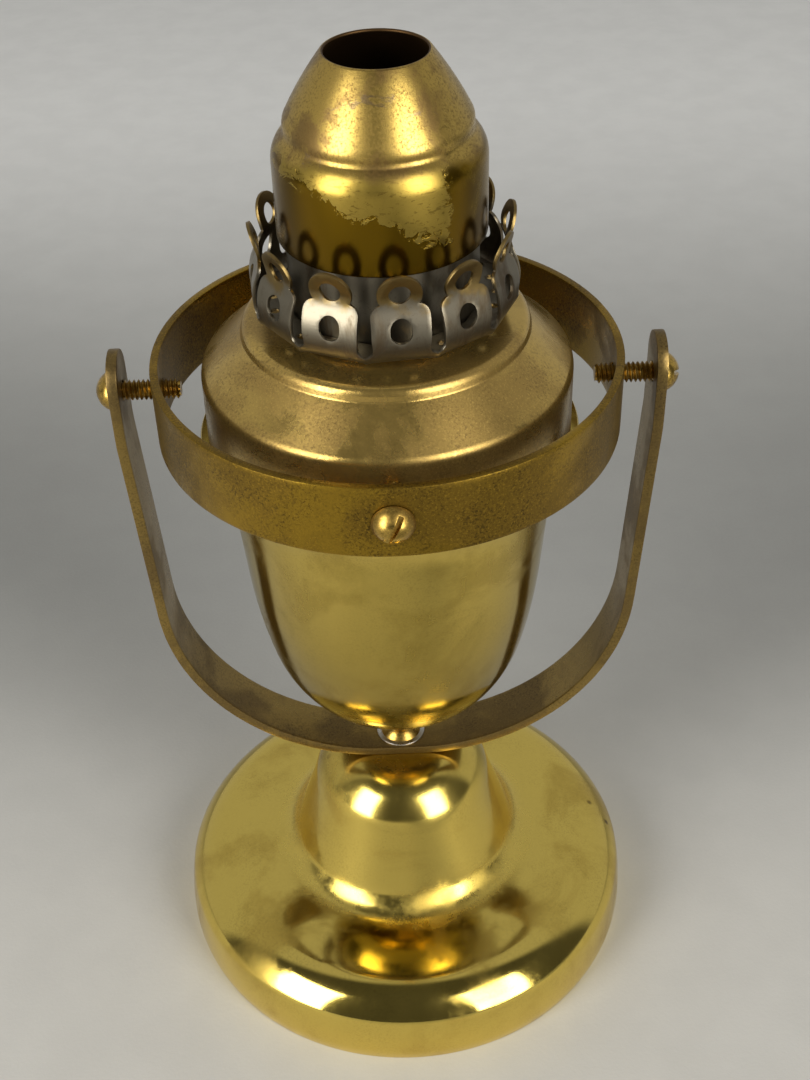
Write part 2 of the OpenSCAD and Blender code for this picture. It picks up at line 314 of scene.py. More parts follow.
# ---------------------------------------------------------------- materials
class Tree:
    """Short way to write a material's nodes."""

    def __init__(self, name):
        self.material = bpy.data.materials.new(name)
        self.material.use_nodes = True
        self.tree = self.material.node_tree
        self.shader = self.tree.nodes["Principled BSDF"]
        self.coords = self.add("ShaderNodeTexCoord").outputs["Object"]

    def add(self, kind, inputs=None, **settings):
        node = self.tree.nodes.new(kind)
        for key, value in settings.items():
            setattr(node, key, value)
        for key, value in (inputs or {}).items():
            self.join(value, node.inputs[key])
        return node

    def join(self, value, socket):
        if isinstance(value, bpy.types.NodeSocket):
            self.tree.links.new(value, socket)
        else:
            socket.default_value = value

    def stretch(self, scale):
        node = self.add("ShaderNodeMapping", {"Vector": self.coords, "Scale": scale})
        return node.outputs[0]

    def noise(self, scale, detail=4.0, rough=0.55, vector=None, distort=0.0):
        inputs = {"Vector": vector or self.coords, "Scale": scale, "Detail": detail, "Roughness": rough,
            "Distortion": distort}
        return self.add("ShaderNodeTexNoise", inputs).outputs["Fac"]

    def cells(self, scale):
        return self.add("ShaderNodeTexVoronoi", {"Vector": self.coords, "Scale": scale}).outputs["Distance"]

    def ramp(self, value, low, high, out_low=0.0, out_high=1.0):
        inputs = {"Value": value, "From Min": low, "From Max": high, "To Min": out_low, "To Max": out_high}
        return self.add("ShaderNodeMapRange", inputs, interpolation_type="SMOOTHSTEP").outputs["Result"]

    def math(self, operation, a, b=0.0):
        node = self.add("ShaderNodeMath", operation=operation)
        self.join(a, node.inputs[0])
        self.join(b, node.inputs[1])
        return node.outputs[0]

    def mix(self, factor, a, b):
        node = self.add("ShaderNodeMix", data_type="RGBA")
        self.join(factor, node.inputs["Factor"])
        for value, socket in ((a, node.inputs[6]), (b, node.inputs[7])):
            self.join(value if isinstance(value, bpy.types.NodeSocket) else (*value, 1.0), socket)
        return node.outputs[2]

    def axis(self, name):
        return self.add("ShaderNodeSeparateXYZ", {"Vector": self.coords}).outputs[name]

    def radius(self):
        """Distance from the Z axis."""
        flat = self.add("ShaderNodeVectorMath", {0: self.coords, 1: (1.0, 1.0, 0.0)},
            operation="MULTIPLY").outputs[0]
        return self.add("ShaderNodeVectorMath", {0: flat}, operation="LENGTH").outputs["Value"]

    def facing_out(self):
        """Positive where the surface faces away from the Z axis."""
        flat = self.add("ShaderNodeVectorMath", {0: self.coords, 1: (1.0, 1.0, 0.0)},
            operation="MULTIPLY").outputs[0]
        away = self.add("ShaderNodeVectorMath", {0: flat}, operation="NORMALIZE").outputs[0]
        face = self.add("ShaderNodeTexCoord").outputs["Normal"]
        return self.add("ShaderNodeVectorMath", {0: away, 1: face}, operation="DOT_PRODUCT").outputs["Value"]

    def bump(self, height, distance, strength=1.0, below=None):
        inputs = {"Height": height, "Distance": distance, "Strength": strength}
        if below:
            inputs["Normal"] = below
        return self.add("ShaderNodeBump", inputs).outputs[0]

    def set(self, **values):
        for key, value in values.items():
            socket = self.shader.inputs[key.replace("_", " ")]
            if isinstance(value, tuple) and len(value) == 3:
                value = (*value, 1.0)
            self.join(value, socket)
        return self.material


def brass(name, clean, dull, dark, patches, speckle, rough, rough_dull, spots=0.0, grain=0.00002, lines=0.0,
        matt=None, shade=None, metal=1.0):
    """Brass that goes from clean to dull in patches, with fine speckle, dark spots,
    turning lines and a little grain.
    matt(tree) gives extra roughness by place; shade is (low z, high z, share below) of painted shade that
    darkens the brass towards the bottom;
    metal under 1 lets old lacquer and tarnish scatter a little light."""
    t = Tree(name)
    t.shader.inputs["Metallic"].default_value = metal
    patch = t.ramp(t.noise(38.0, 6.0, 0.6, distort=0.4), 0.60 - 0.3 * patches, 0.78 - 0.3 * patches)
    fine = t.ramp(t.noise(1700.0, 3.0, 0.75), 0.46, 0.66)
    cover = t.ramp(t.noise(70.0, 5.0, 0.6), 0.30, 0.65)
    fleck = t.math("MULTIPLY", t.math("MULTIPLY", fine, cover), speckle)
    colour = t.mix(patch, clean, dull)
    grains = t.math("MULTIPLY", t.ramp(t.noise(2300.0, 2.0, 0.7), 0.52, 0.68), 0.55 * min(speckle, 1.0))
    colour = t.mix(grains, colour, tuple(min(c * 1.35, 1.0) for c in clean))
    colour = t.mix(fleck, colour, dark)
    # Painted shade: the colour darkens towards the bottom, standing for the shade under the piece.
    if shade:
        colour = t.mix(t.ramp(t.axis("Z"), shade[0], shade[1], shade[2], 0.0), colour,
            tuple(c * 0.5 for c in dull))
    dull_share = t.math("MAXIMUM", patch, fleck)
    if spots:
        dots = t.math("MULTIPLY", t.ramp(t.cells(105.0), 0.14, 0.04),
            t.ramp(t.noise(34.0, 2.0, 0.5), 0.58, 0.66))
        colour = t.mix(t.math("MULTIPLY", dots, spots), colour, dark)
        dull_share = t.math("MAXIMUM", dull_share, dots)
    smear = t.noise(60.0, 5.0, 0.7, vector=t.stretch((1.0, 1.0, 0.25)))
    rough_value = t.math("ADD", t.ramp(dull_share, 0.0, 1.0, rough, rough_dull),
        t.ramp(smear, 0.35, 0.7, -0.02, 0.05))
    if matt:
        rough_value = t.math("ADD", rough_value, matt(t))
    height = t.noise(1500.0, 2.0, 0.6)
    bumped = t.bump(height, grain)
    if lines:
        rings = t.noise(60.0, 3.0, 0.8, vector=t.stretch((0.05, 0.05, 60.0)))
        bumped = t.bump(rings, lines, below=bumped)
    return t.set(Base_Color=colour, Roughness=rough_value, Normal=bumped)


def foot_matt(t):
    """Extra roughness on the top of the bell and in the hollow at its root."""
    top = t.ramp(t.axis("Z"), 0.046, 0.052, 0.0, 0.07)
    root = t.math("MULTIPLY", t.ramp(t.radius(), 0.040, 0.036), t.ramp(t.axis("Z"), 0.031, 0.028))
    return t.math("ADD", top, t.math("MULTIPLY", root, t.ramp(t.noise(160.0, 5.0, 0.7), 0.3, 0.6, 0.06, 0.2)))


POLISHED = brass(
    "polished_brass", clean=(0.76, 0.575, 0.13), dull=(0.60, 0.43, 0.09), dark=(0.13, 0.075, 0.02),
    patches=0.38, speckle=0.20, rough=0.09, rough_dull=0.22,
    spots=0.9, grain=0.000003, lines=0.0000015, matt=foot_matt)
# The urn brass has painted shade that darkens it towards its bottom.
URN_BRASS = brass(
    "urn_brass", clean=(0.64, 0.48, 0.11), dull=(0.50, 0.365, 0.075), dark=(0.13, 0.075, 0.02),
    patches=0.5, speckle=0.22, rough=0.12, rough_dull=0.26,
    spots=0.8, grain=0.000005, lines=0.000002, shade=(0.098, 0.150, 0.62))
DOME_BRASS = brass(
    "dome_brass", clean=(0.56, 0.385, 0.105), dull=(0.385, 0.255, 0.073), dark=(0.145, 0.092, 0.034),
    patches=0.7, speckle=0.65, rough=0.18, rough_dull=0.34, spots=0.2, grain=0.000015, metal=0.88)
RING_BRASS = brass(
    "ring_brass", clean=(0.345, 0.212, 0.022), dull=(0.195, 0.118, 0.015), dark=(0.045, 0.027, 0.008),
    patches=0.7, speckle=0.9, rough=0.22, rough_dull=0.40, spots=0.3, grain=0.000018, metal=0.95)
YOKE_BRASS = brass(
    "yoke_brass", clean=(0.28, 0.19, 0.055), dull=(0.17, 0.115, 0.04), dark=(0.05, 0.032, 0.018),
    patches=0.6, speckle=0.6, rough=0.28, rough_dull=0.42, spots=0.3, grain=0.000018, metal=0.92)
SCREW_BRASS = brass(
    "screw_brass", clean=(0.62, 0.41, 0.09), dull=(0.30, 0.19, 0.045), dark=(0.04, 0.024, 0.01),
    patches=0.6, speckle=0.7, rough=0.17, rough_dull=0.36, spots=0.2, grain=0.00001)
INNER_BRASS = brass(
    "inner_brass", clean=(0.34, 0.24, 0.09), dull=(0.18, 0.12, 0.05), dark=(0.04, 0.025, 0.015),
    patches=0.7, speckle=0.6, rough=0.35, rough_dull=0.55, grain=0.00003)


def cap_brass():
    """Brass of the cap: speckled satin cone, soot inside, amber lacquer on the skirt with a worn patch."""
    t = Tree("cap_brass")
    t.shader.inputs["Metallic"].default_value = 1.0
    z, x = t.axis("Z"), t.axis("X")
    skirt = t.ramp(t.math("ADD", z, t.ramp(t.noise(90.0, 4.0), 0.3, 0.7, -0.001, 0.001)), 0.2375, 0.2345)
    fine = t.ramp(t.noise(1700.0, 3.0, 0.75), 0.46, 0.66)
    patch = t.ramp(t.noise(55.0, 6.0, 0.65, distort=0.6), 0.48, 0.60)
    smudge = t.ramp(t.noise(110.0, 5.0, 0.7, distort=0.8), 0.60, 0.66)
    top = t.mix(patch, (0.51, 0.35, 0.088), (0.28, 0.18, 0.058))
    top = t.mix(t.math("MULTIPLY", smudge, 0.7), top, (0.24, 0.17, 0.10))
    low = t.mix(patch, (0.18, 0.104, 0.006), (0.25, 0.155, 0.011))
    edge = t.math("ADD", t.math("MULTIPLY", x, 0.38), t.ramp(t.noise(150.0, 5.0, 0.7, distort=1.2), 0.25,
        0.75, -0.0035, 0.0035))
    worn = t.ramp(t.math("ADD", z, edge), 0.2262, 0.2266)
    right = t.math("ADD", x, t.ramp(t.noise(120.0, 5.0, 0.7, distort=1.0), 0.3, 0.7, -0.0016, 0.0016))
    worn = t.math("MULTIPLY", worn, t.math("MULTIPLY", t.ramp(right, 0.0140, 0.0130),
        t.ramp(t.axis("Y"), 0.0, -0.004)))
    scratch = t.ramp(t.noise(420.0, 4.0, 0.7, vector=t.stretch((1.0, 1.0, 2.6)), distort=1.0), 0.56, 0.62)
    low = t.mix(worn, low, t.mix(t.math("MULTIPLY", scratch, 0.6), (0.37, 0.26, 0.05), (0.14, 0.085, 0.015)))
    colour = t.mix(skirt, top, low)
    fleck = t.math("MULTIPLY", fine, t.ramp(skirt, 0.0, 1.0, 0.6, 0.12))
    colour = t.mix(fleck, colour, (0.13, 0.08, 0.025))
    faces_in = t.ramp(t.facing_out(), 0.0, -0.05)
    colour = t.mix(faces_in, colour, (0.09, 0.05, 0.02))
    rough = t.math("ADD", t.ramp(skirt, 0.0, 1.0, 0.24, 0.21), t.ramp(patch, 0.0, 1.0, 0.0, 0.05))
    rough = t.math("ADD", rough, t.math("MULTIPLY", fleck, 0.25))
    rough = t.math("ADD", rough, t.math("MULTIPLY", worn, 0.08))
    rough = t.math("MAXIMUM", rough, t.ramp(faces_in, 0.0, 1.0, 0.0, 0.5))
    bumped = t.bump(t.noise(1500.0, 2.0, 0.6), 0.00001, below=t.bump(worn, 0.00004))
    return t.set(Base_Color=colour, Roughness=rough, Normal=bumped)


CAP_BRASS = cap_brass()


def nickel(name, heat_z, top_z):
    """Worn nickel plate with brown stains, turning brass-yellow towards heat_z and above."""
    t = Tree(name)
    t.shader.inputs["Metallic"].default_value = 1.0
    z = t.math("ADD", t.axis("Z"), t.ramp(t.noise(140.0, 4.0, 0.6), 0.2, 0.8, -0.003, 0.003))
    streak = t.ramp(t.noise(110.0, 5.0, 0.65, vector=t.stretch((1.0, 1.0, 0.35)), distort=0.5), 0.48, 0.66)
    colour = t.mix(streak, (0.215, 0.19, 0.14), (0.105, 0.078, 0.046))
    colour = t.mix(t.ramp(z, heat_z, top_z), colour, (0.215, 0.15, 0.055))
    fleck = t.ramp(t.noise(1000.0, 3.0, 0.7), 0.58, 0.74)
    colour = t.mix(t.math("MULTIPLY", fleck, 0.5), colour, (0.12, 0.08, 0.05))
    brushed = t.noise(260.0, 3.0, 0.6, vector=t.stretch((1.0, 1.0, 9.0)))
    rough = t.ramp(streak, 0.0, 1.0, 0.36, 0.48)
    bumped = t.bump(brushed, 0.000006)
    return t.set(Base_Color=colour, Roughness=rough, Normal=bumped)


CROWN_NICKEL = nickel("crown_nickel", 0.2095, 0.2125)
DRUM_NICKEL = nickel("drum_nickel", 0.236, 0.240)


def plain_metal(name, colour, rough):
    t = Tree(name)
    t.shader.inputs["Metallic"].default_value = 1.0
    mixed = t.mix(t.ramp(t.noise(220.0), 0.4, 0.7), colour, tuple(c * 0.6 for c in colour))
    return t.set(Base_Color=mixed, Roughness=t.ramp(t.noise(500.0), 0.3, 0.7, rough, rough + 0.12),
        Normal=t.bump(t.noise(900.0), 0.00002))


def cast_iron():
    t = Tree("cast_iron")
    t.shader.inputs["Metallic"].default_value = 0.6
    colour = t.mix(t.ramp(t.noise(90.0), 0.4, 0.7), (0.10, 0.10, 0.10), (0.17, 0.13, 0.10))
    return t.set(Base_Color=colour, Roughness=t.ramp(t.noise(300.0), 0.3, 0.7, 0.55, 0.75),
        Normal=t.bump(t.noise(500.0, 5.0), 0.0002))


def cloth(name, light, dark, scorch_z=None):
    """Woven or felted fibre, with a scorched top where scorch_z is given."""
    t = Tree(name)
    fibre = t.noise(1800.0, 6.0, 0.8)
    colour = t.mix(t.ramp(fibre, 0.3, 0.7), dark, light)
    if scorch_z:
        z = t.math("ADD", t.axis("Z"), t.ramp(t.noise(300.0), 0.3, 0.7, -0.0008, 0.0008))
        colour = t.mix(t.ramp(z, scorch_z - 0.003, scorch_z), colour, (0.02, 0.016, 0.012))
    rows = t.add("ShaderNodeTexWave", {"Vector": t.coords, "Scale": 260.0, "Distortion": 1.0},
        bands_direction="Z").outputs["Fac"]
    bumped = t.bump(fibre, 0.0002, below=t.bump(rows, 0.0001))
    t.shader.inputs["Sheen Weight"].default_value = 0.4
    return t.set(Base_Color=colour, Roughness=t.ramp(fibre, 0.3, 0.7, 0.8, 0.95), Normal=bumped)


STEEL = plain_metal("plain_steel", (0.62, 0.60, 0.56), 0.25)
IRON = cast_iron()
FELT = cloth("green_felt", (0.06, 0.13, 0.08), (0.03, 0.07, 0.04))
WICK = cloth("wick_cotton", (0.78, 0.72, 0.58), (0.55, 0.48, 0.36), 0.2365)


# ---------------------------------------------------------------- pieces
def place(obj, body, slot, material, *nodes):
    """Gives a piece its body and its material, and hides the CAD nodes it stands for. The slot argument is
    not used.
    """
    obj.data.materials.clear()
    obj.data.materials.append(material)
    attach(obj, body)
    if nodes:
        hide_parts(*nodes)
    return obj


def foot():
    moves = [(15.5, 15), (-170, 21.83), (-8, 86), (140, 80), (14, 30), (5, 10), (55, 0), (12, -20.4)]
    track = walk((9.1, SEAT_Z), 90, moves)
    grow = FOOT_R - max(p[0] for p, e in track)
    track = [(p + np.array([grow, 0]), e) for p, e in track]
    last = track[-1][0][0]
    outline = [(3.2, SEAT_Z)] + [tuple(p) for p, e in track] + [(last - 0.05, 0.15), (last - 0.25, 0.0),
        (last - 0.6, 0.0), (last - 0.8, 0.2)]
    outline += [tuple(p - normal(e) * SHEET) for p, e in track[::-1]] + [(3.2, SEAT_Z - SHEET)]
    place(lathe("foot", outline, steps=256), "stand", "polished_brass", POLISHED, "foot_shell")


def strap():
    """The strap is a flat blank with round ends and pivot holes, bent along its centre line."""
    flat = 6.0
    bend_a, bend_b, bend_c, turn_a, splay = 43.7, 56.8, 60.0, 11.3, 3.5
    sin, cos = (lambda a: math.sin(math.radians(a))), (lambda a: math.cos(math.radians(a)))
    knee = flat + bend_a * sin(turn_a) + bend_b * (cos(splay) - sin(turn_a))
    leg = (YOKE_X - bend_c * (1 - cos(splay)) - knee) / sin(splay)
    moves = [(bend_a, turn_a - 90), (bend_b, -splay), ("line", leg), (bend_c, 0), ("line", 30.0)]
    track = walk((flat, SEAT_Z), -90, moves)
    points = [np.array([0.0, SEAT_Z])] + [p for p, e in track]
    turns = [-90.0] + [e for p, e in track]
    run = [0.0]
    for a, b in zip(points, points[1:]):
        run.append(run[-1] + float(np.linalg.norm(b - a)))
    run, points, turns = np.array(run), np.array(points), np.array(turns)
    top = YOKE_HIGH[2]
    length = run[-2] + top - points[-2][1]
    half = YOKE_HALF_W
    hole_at = length - (top - PIVOT_Z)

    def bend(p):
        s, w = abs(p[0]), p[1]
        side = 1 if p[0] >= 0 else -1
        x, z = np.interp(s, run, points[:, 0]), np.interp(s, run, points[:, 1])
        n = normal(np.interp(s, run, turns))
        outer = np.array([side * x, w, z])
        inner = np.array([side * (x - n[0] * YOKE_T), w, z - n[1] * YOKE_T])
        return outer, inner

    step = 1.75
    outline = line((-length + half, -half), (length - half, -half), step) + arc(length - half, 0, half, -90,
        90, 22)[:-1]
    outline += line((length - half, half), (-length + half, half), step) + arc(-length + half, 0, half, 90,
        270, 22)[:-1]
    holes = [circle(side * hole_at, 0, THREAD_R + 0.06, 32) for side in (-1, 1)] + [circle(0, 0,
        BOLT_HOLE_R, 32)]
    flat_points, tris = triangulate(outline, holes, step)
    place(bent_sheet("yoke", [(flat_points, tris, bend)], 0.35), "stand", "satin_brass", YOKE_BRASS,
        "yoke_strap")


def ring():
    """The ring is four flat quarters with a screw hole in the middle of each, bent round."""
    half = (RING_HIGH[2] - RING_LOW[2]) / 2
    quarter = RING_R * math.pi / 2
    patterns = []
    step = 1.9
    count = int(quarter / step)
    outline = [(-quarter / 2 + quarter * i / count, -half) for i in range(count)] + line((quarter / 2,
        -half), (quarter / 2, half), step)
    outline += [(quarter / 2 - quarter * i / count, half) for i in range(count)] + line((-quarter / 2,
        half), (-quarter / 2, -half), step)
    flat, tris = triangulate(outline, [circle(0, 0, THREAD_R + 0.05, 32)], step)
    for k in range(4):
        def bend(p, k=k):
            a = p[0] / RING_R + k * math.pi / 2
            out = np.array([math.cos(a), math.sin(a), 0.0])
            up = np.array([0.0, 0.0, PIVOT_Z + p[1]])
            return out * RING_R + up, out * (RING_R - RING_T) + up
        patterns.append((flat, tris, bend))
    place(bent_sheet("ring", patterns, 0.3), "ring", "aged_brass", RING_BRASS, "gimbal_ring")


def threaded_rod(name, radius, pitch, low, high, depth=0.62):
    """Rod along Z whose surface follows a helix: crest, flank, root, flank."""
    around, phases = 40, ((0.0, 0.0), (0.12, 0.0), (0.5, 1.0), (0.62, 1.0))
    rows = []
    first, last = int(low / pitch) - 2, int(high / pitch) + 2
    for k in range(first, last):
        rows += [(k + f, radius - depth * pitch * d) for f, d in phases]
    verts, faces = [], []
    for turn, r in rows:
        for i in range(around + 1):
            z = (turn + i / around) * pitch
            cut = min(max(z, low), high)
            edge = min(cut - low, high - cut)
            rr = min(r, radius - depth * pitch + edge * 0.9)
            a = 2 * math.pi * i / around
            verts.append((rr * math.cos(a) * MM, rr * math.sin(a) * MM, cut * MM))
    wide = around + 1
    for j in range(len(rows) - 1):
        for i in range(around):
            faces.append((j * wide + i, j * wide + i + 1, (j + 1) * wide + i + 1, (j + 1) * wide + i))
    obj = new_object(name, verts, faces, 30.0)
    bm = bmesh.new()
    bm.from_mesh(obj.data)
    bmesh.ops.dissolve_degenerate(bm, edges=bm.edges, dist=1e-6)
    bmesh.ops.remove_doubles(bm, verts=bm.verts, dist=2e-6)
    bmesh.ops.holes_fill(bm, edges=[e for e in bm.edges if len(e.link_faces) == 1])
    bm.to_mesh(obj.data)
    bm.free()
    return obj


def round_screw(name, head_r, head_h, rod_r, pitch, length, slot_turn, slot_w=1.25, slot_d=1.7):
    """Round-head screw on +Z: head above 0 with a driving slot, thread below."""
    ball = (head_r**2 + head_h**2) / (2 * head_h)
    edge = math.degrees(math.asin(head_r / ball))
    outline = [(0.0, 0.0), (head_r - 0.35, 0.0), (head_r - 0.1, 0.12)]
    outline += [(ball * math.sin(math.radians(a)),
        head_h - ball + ball * math.cos(math.radians(a))) for a in np.linspace(edge - 3, 0, 16)]
    outline[-1] = (0.0, head_h)
    head = lathe(name, outline, closed=False, steps=72, sharp=50.0)
    cutter = box_mesh(name + "_cut", (-head_r * 2, -slot_w / 2, head_h - slot_d),
        (head_r * 2, slot_w / 2, head_h + 3))
    turned(cutter, Matrix.Rotation(math.radians(slot_turn), 4, "Z"))
    boolean_cut(head, cutter)
    bm = bmesh.new()
    bm.from_mesh(head.data)
    hard = [e for e in bm.edges if len(e.link_faces) == 2
            and e.calc_face_angle(0) > math.radians(45) and e.verts[0].co.z > 0.3 * MM]
    bmesh.ops.bevel(bm, geom=hard, offset=0.09 * MM, segments=2, profile=0.5, affect="EDGES",
        clamp_overlap=True)
    rod = threaded_rod(name + "_rod", rod_r, pitch, -length, 0.15)
    bm.from_mesh(rod.data)
    bpy.data.objects.remove(rod)
    bm.to_mesh(head.data)
    bm.free()
    mesh = head.data
    mesh.polygons.foreach_set("use_smooth", [True] * len(mesh.polygons))
    mesh.set_sharp_from_angle(angle=math.radians(32))
    return head


def screws():
    length = SCREW_HIGH[0] - HEAD_H - SCREW_LOW[0]
    side_x = SCREW_HIGH[0] - HEAD_H
    front_y = -FRONT_LOW[1] - HEAD_H
    places = {
        "side_screw_right": ("ring", Matrix.Translation((side_x * MM, 0,
            PIVOT_Z * MM)) @ Matrix.Rotation(math.radians(90), 4, "Y"), 70),
        "side_screw_left": ("ring", Matrix.Translation((-side_x * MM, 0,
            PIVOT_Z * MM)) @ Matrix.Rotation(math.radians(-90), 4, "Y"), 55),
        "front_screw": ("lamp", Matrix.Translation((0, -front_y * MM,
            PIVOT_Z * MM)) @ Matrix.Rotation(math.radians(90), 4, "X"), 62),
        "back_screw": ("lamp", Matrix.Translation((0, front_y * MM,
            PIVOT_Z * MM)) @ Matrix.Rotation(math.radians(-90), 4, "X"), 20),
    }
    for node, (body, matrix, slot_turn) in places.items():
        obj = round_screw("screw_" + node, HEAD_R, HEAD_H, THREAD_R, THREAD_PITCH, length, slot_turn)
        place(turned(obj, matrix), body, "screw_brass", SCREW_BRASS, node)
    bolt_seat = BOLT_HIGH[2] - 3.2
    bolt = round_screw("seat_bolt", BOLT_HIGH[0], 3.2, 3.0, 1.27, bolt_seat - BOLT_LOW[2], 0, 1.2, 1.2)
    place(turned(bolt, Matrix.Translation((0, 0, bolt_seat * MM))), "stand", "satin_brass", SCREW_BRASS,
        "yoke_bolt")


def washer(name, node, slot, material):
    low, high = size_of(node)
    r, z0, z1 = high[0], low[2], high[2]
    outline = [(BOLT_HOLE_R, z0 + 0.1), (3.25, z0), (r - 0.15, z0), (r, z0 + 0.15), (r, z1 - 0.2),
        (r - 0.06, z1 - 0.06), (r - 0.2, z1), (3.25, z1), (BOLT_HOLE_R, z1 - 0.1)]
    place(lathe(name, outline, steps=96), "stand", slot, material, node)


def nut():
    """Hexagon nut with chamfered corners."""
    low, high = size_of("yoke_nut")
    flat, z0, z1 = high[1], low[2], high[2]

    def hexagon(a):
        return flat / math.cos((a + math.pi / 6) % (math.pi / 3) - math.pi / 6)

    def radius_at(r, z, a):
        return min(r, hexagon(a)) if r > flat * 0.9 else r

    corner = flat / math.cos(math.pi / 6)
    drop = (corner - flat) * math.tan(math.radians(30))
    outline = [(3.02, z0 + 0.4), (3.5, z0), (flat - 0.05, z0)]
    outline += [(flat + (corner - flat) * f, z0 + drop * f) for f in (0.25, 0.5, 0.75, 1.0)]
    outline += [(flat + (corner - flat) * f, z1 - drop * f) for f in (1.0, 0.75, 0.5, 0.25)]
    outline += [(flat - 0.05, z1), (3.5, z1), (3.02, z1 - 0.4)]
    place(lathe("seat_nut", outline, steps=144, radius_at=radius_at, sharp=25.0), "stand", "satin_brass",
        YOKE_BRASS, "yoke_nut")


def urn():
    track = walk((14.6, URN_Z), -90, [(12, -45), (36, -14), (150, -5), ("line", 24.6), (-29, -32.4)])
    centre, bead = np.array([43.05, 164.3]), 1.2
    rim = [tuple(centre + bead * normal(a)) for a in range(-60, 49, 9)]
    top = DOME_LOW[2]
    outline = [(0.0, URN_Z)] + [tuple(p) for p, e in track] + rim + [(43.6, top), (40.9, top),
        (40.9, top - 0.9), (42.0, top - 1.2)]
    outline += [tuple(p - normal(e) * SHEET) for p, e in track[::-1]] + [(0.0, URN_Z + SHEET)]
    place(lathe("urn", outline, closed=False, steps=256), "lamp", "polished_brass", URN_BRASS, "urn_shell")


def dome():
    lower = walk((DOME_R, DOME_LOW[2]), 0, [("line", 15.8), (3, 48.5), ("line", 11.4)])
    fillet = walk(lower[-1][0], 48.5, [(-0.8, 10), ("line", 0.9), (2.2, 85), ("line", 11.2)])
    track = lower + fillet[1:]
    shift = DOME_HIGH[2] - track[-1][0][1]
    track = [(p + np.array([0, shift if p[1] > DOME_LOW[2] + 1 else 0]), e) for p, e in track]
    place(lathe("dome", shell_outline(track, SHEET + 0.1), steps=256), "lamp", "aged_brass", DOME_BRASS,
        "dome_cover")


def collar():
    low, high = size_of("burner_collar")
    r, bore, top = high[0], COLLAR_BORE_R, high[2]
    outline = [(bore, low[2]), (bore + 1.2, low[2]), (bore + 1.2, top - 1.2), (r - 0.2, top - 1.2),
        (r, top - 1.0), (r, top - 0.3), (r - 0.25, top), (bore, top)]
    place(lathe("collar", outline), "lamp", "aged_brass", DOME_BRASS, "burner_collar")
    low, high = size_of("burner_base")
    r, bore, top = high[0], WICK_TUBE_BORE_R, high[2]
    under = top - FLANGE_T
    outline = [(bore, under), (15.7, under), (15.7, low[2]), (16.6, low[2]), (16.94, low[2] + 0.4),
        (16.94, under), (r - 0.25, under), (r, top - 1.3), (r, top - 0.2), (r - 0.2, top), (bore, top)]
    place(lathe("base_flange", outline), "burner", "nickel", DRUM_NICKEL, "burner_base")


def crown():
    """Chimney holder: one flat prong with its piece of the floor, repeated round the burner."""
    floor_z, floor_shift = CROWN_LOW[2] + PRONG_T / 2, 171.0
    wall = walk((28.1, 198.4), -22.7, [(14, 0), (12, 26), (-6.5, -18), ("line", 2.8), ("line", 2.8)])
    middle = [p - normal(e) * PRONG_T / 2 for p, e in wall[1:]]
    line_v = np.array([DRUM_HIGH[0] + floor_shift, 198.1, 198.4, 198.7] + [p[1] for p in middle])
    line_r = np.array([DRUM_HIGH[0], 27.1, 27.55, 27.83] + [p[0] for p in middle])
    line_z = np.array([floor_z, floor_z, floor_z + 0.08, 198.72] + [p[1] for p in middle])
    fine = np.linspace(line_v[0], line_v[-1], 900)
    smooth = np.hanning(15)
    smooth /= smooth.sum()

    def soften(values):
        rough = np.interp(fine, line_v, values)
        return np.convolve(np.pad(rough, 7, mode="reflect", reflect_type="odd"), smooth, mode="valid")

    fine_r, fine_z = soften(line_r), soften(line_z)
    slope_r, slope_z = np.gradient(fine_r), np.gradient(fine_z)
    tan = math.tan(math.pi / PRONGS)

    def bend(p, turn):
        u, v = p
        r, z = np.interp(v, fine, fine_r), np.interp(v, fine, fine_z)
        n = np.array([np.interp(v, fine, slope_z), -np.interp(v, fine, slope_r)])
        n /= np.linalg.norm(n)
        sides = []
        for side in (0.5, -0.5):
            rr, zz = r + side * PRONG_T * n[0], z + side * PRONG_T * n[1]
            uu = u * (rr / r) if v < 200.2 else u
            sides.append(np.array([uu * math.cos(turn) + rr * math.sin(turn),
                uu * math.sin(turn) - rr * math.cos(turn), zz]))
        return sides

    def seam_at(v):
        return tan * float(np.interp(v, fine, fine_r))

    slot_v, slot_r, body, shoulder, ear, ear_v = 201.6, 1.6, 6.2, 2.65, 4.7, 213.6
    joint = seam_at(slot_v - slot_r)
    right = [(seam_at(v), v) for v in np.linspace(line_v[0], slot_v - slot_r, 12)][:-1]
    right += arc(joint, slot_v, slot_r, 270, 185, 7) + [(body - 0.14, 202.6), (body - 0.04, 203.6)]
    right += line((body, 204.6), (body, 208.65), 1.0) + arc(body - shoulder, 208.65, shoulder, 0, 76, 8)
    right += [(4.06, 211.27), (4.05, 211.34)] + arc(0, ear_v, ear, -27, 90, 14)
    left = [(-u, v) for u, v in right[::-1]][1:]
    outline = right + left + line(left[-1], right[0], 1.2)[1:]
    stadium = arc(0, 206.1, 2.3, 0, 180, 18) + arc(0, 205.3, 2.3, 180, 360, 18)
    vents = [circle(s * 3.21, 24.39 + floor_shift, 1.1, 18) for s in (-1, 1)]
    flat, tris = triangulate(outline, [circle(0, ear_v + 0.1, 2.3, 30), stadium] + vents, 0.95)
    patterns = []
    for k in range(PRONGS):
        turn = math.radians(PRONG_TURN + 360 / PRONGS * k)
        patterns.append((flat, tris, lambda p, turn=turn: bend(p, turn)))
    place(bent_sheet("chimney_holder", patterns, 0.12), "burner", "nickel", CROWN_NICKEL, "crown")


